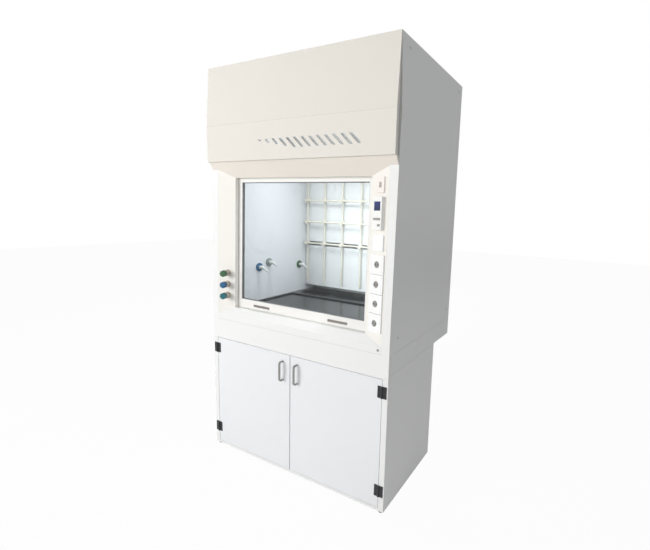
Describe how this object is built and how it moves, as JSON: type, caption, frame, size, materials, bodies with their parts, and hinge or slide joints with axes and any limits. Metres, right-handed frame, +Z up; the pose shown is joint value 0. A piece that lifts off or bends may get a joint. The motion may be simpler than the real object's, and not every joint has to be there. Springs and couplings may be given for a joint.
{
  "type": "laboratory fume hood",
  "caption": "Laboratory fume hood on a cupboard base: counterbalanced sliding sash, slanted control posts, baffled chamber and round exhaust collar.",
  "frame": {"origin": "on the floor, at the middle of the outline in X and Y", "axes": "+Z up, +X to the right as a user faces the sash, +Y from the front to the back"},
  "size_m": [1.204, 0.8886, 2.35],
  "materials": {
    "panel_paint": "satin white powder coat",
    "door_paint": "satin white powder coat",
    "fascia_paint": "satin warm white powder coat",
    "foot_rubber": "black",
    "handle_metal": "brushed",
    "hinge_black": "black",
    "steel": "plain steel",
    "catch_plastic": "moulded",
    "galvanised": "zinc coated",
    "collar_plastic": "grey duct plastic",
    "cap_plastic": "moulded",
    "worktop_grey": "dark grey solid worktop",
    "sink_black": "black moulded",
    "board_white": "white chemical-resistant board",
    "lens_glass": "diffusing",
    "lattice_white": "white coated rods and clamps",
    "outlet_colours": "coded: blue, grey, green",
    "nozzle_white": "coated",
    "escutcheon_white": "moulded",
    "knob_teal": "teal",
    "knob_blue": "blue",
    "knob_green": "green",
    "plate_white": "white",
    "rocker_white": "white",
    "case_white": "white",
    "screen_blue": "dark blue display",
    "button_grey": "grey",
    "sash_white": "white coated",
    "sash_glass": "clear laminated",
    "weight_iron": "cast"
  },
  "bodies": {
    "cabinet": {"base_side_left": "panel_paint", "base_side_right": "panel_paint", "base_floor": "panel_paint", "base_back": "panel_paint", "base_shelf": "panel_paint", "apron": "panel_paint", "waist_panels": "panel_paint", "side_left": "panel_paint", "side_right": "panel_paint", "back_panel": "panel_paint", "top_panel": "panel_paint", "sill": "panel_paint", "post_left": "panel_paint", "post_right": "panel_paint", "header_bevel": "fascia_paint", "fascia_lower": "fascia_paint", "fascia_upper": "fascia_paint", "levelling_feet": "foot_rubber", "hinge_stile_leaves": "hinge_black", "hinge_pins": "steel", "shaft_brackets": "steel", "rope_bends": "steel", "rope_front": "steel", "rope_rear": "steel", "door_catches": "catch_plastic", "worktop_bearers": "galvanised", "sash_tracks": "galvanised", "lamp_housing": "galvanised", "exhaust_collar": "collar_plastic", "side_fixings": "cap_plastic", "worktop": "worktop_grey", "cup_sink": "sink_black", "chamber_sides": "board_white", "chamber_ceiling": "board_white", "baffle_lower": "board_white", "baffle_upper": "board_white", "lamp_lens": "lens_glass", "lattice": "lattice_white", "outlet_flanges": "outlet_colours", "outlet_nozzles": "nozzle_white", "escutcheons": "escutcheon_white", "post_plates": "plate_white", "controller_case": "case_white", "controller_screen": "screen_blue"},
    "door_left": {"door_left": "door_paint", "handle_left": "handle_metal", "hinge_leaves_left": "hinge_black"},
    "door_right": {"door_right": "door_paint", "handle_right": "handle_metal", "hinge_leaves_right": "hinge_black"},
    "sash": {"sash_frame": "sash_white", "sash_glass": "sash_glass"},
    "weights": {"counterweights": "weight_iron"},
    "cross_shaft": {"pulley_shaft": "steel"},
    "valve_teal": {"knob_teal": "knob_teal"},
    "valve_blue": {"knob_blue": "knob_blue"},
    "valve_green": {"knob_green": "knob_green"},
    "rocker": {"switch_rocker": "rocker_white"},
    "bar_button": {"controller_bar": "button_grey"},
    "key_button": {"controller_key": "button_grey"}
  },
  "joints": [
    {"name": "door_left_hinge", "type": "hinge", "parent": "cabinet", "child": "door_left", "pos_m": [-0.5695, -0.41021, 0], "axis": [0, 0, -1], "range_deg": [0, 160]},
    {"name": "door_right_hinge", "type": "hinge", "parent": "cabinet", "child": "door_right", "pos_m": [0.5695, -0.41021, 0], "axis": [0, 0, 1], "range_deg": [0, 160]},
    {"name": "sash_slide", "type": "slide", "parent": "cabinet", "child": "sash", "axis": [0, 0.0236, 0.9997], "range_m": [0, 0.48], "deforming": ["rope_front"]},
    {"name": "weight_slide", "type": "slide", "parent": "cabinet", "child": "weights", "axis": [0, 0, -1], "range_m": [0, 0.4801], "deforming": ["rope_rear"]},
    {"name": "shaft_spin", "type": "hinge", "parent": "cabinet", "child": "cross_shaft", "pos_m": [0, -0.25257, 2.18], "axis": [-1, 0, 0], "range_deg": [0, 500.5]},
    {"name": "valve_teal_turn", "type": "hinge", "parent": "cabinet", "child": "valve_teal", "pos_m": [-0.49778, -0.38645, 0.97], "axis": [0.2688, -0.9629, 0.0227], "range_deg": [0, 540]},
    {"name": "valve_blue_turn", "type": "hinge", "parent": "cabinet", "child": "valve_blue", "pos_m": [-0.49778, -0.38489, 1.036], "axis": [0.2688, -0.9629, 0.0227], "range_deg": [0, 540]},
    {"name": "valve_green_turn", "type": "hinge", "parent": "cabinet", "child": "valve_green", "pos_m": [-0.49778, -0.38332, 1.103], "axis": [0.2688, -0.9629, 0.0227], "range_deg": [0, 540]},
    {"name": "rocker_tip", "type": "hinge", "parent": "cabinet", "child": "rocker", "pos_m": [0.508, -0.37931, 1.61411], "axis": [0.9632, -0.2687, 0.0063], "range_deg": [0, 12]},
    {"name": "bar_press", "type": "slide", "parent": "cabinet", "child": "bar_button", "axis": [0.2688, 0.9629, -0.0227], "range_m": [0, 0.0012], "stiffness_N_per_m": 900, "springref_m": -0.0005},
    {"name": "key_press", "type": "slide", "parent": "cabinet", "child": "key_button", "axis": [0.2688, 0.9629, -0.0227], "range_m": [0, 0.0012], "stiffness_N_per_m": 900, "springref_m": -0.0005}
  ],
  "couplings": [
    {"joint": "weight_slide", "follows": "sash_slide", "ratio": 1},
    {"joint": "shaft_spin", "follows": "sash_slide", "rad_per_m": 18.182}
  ]
}
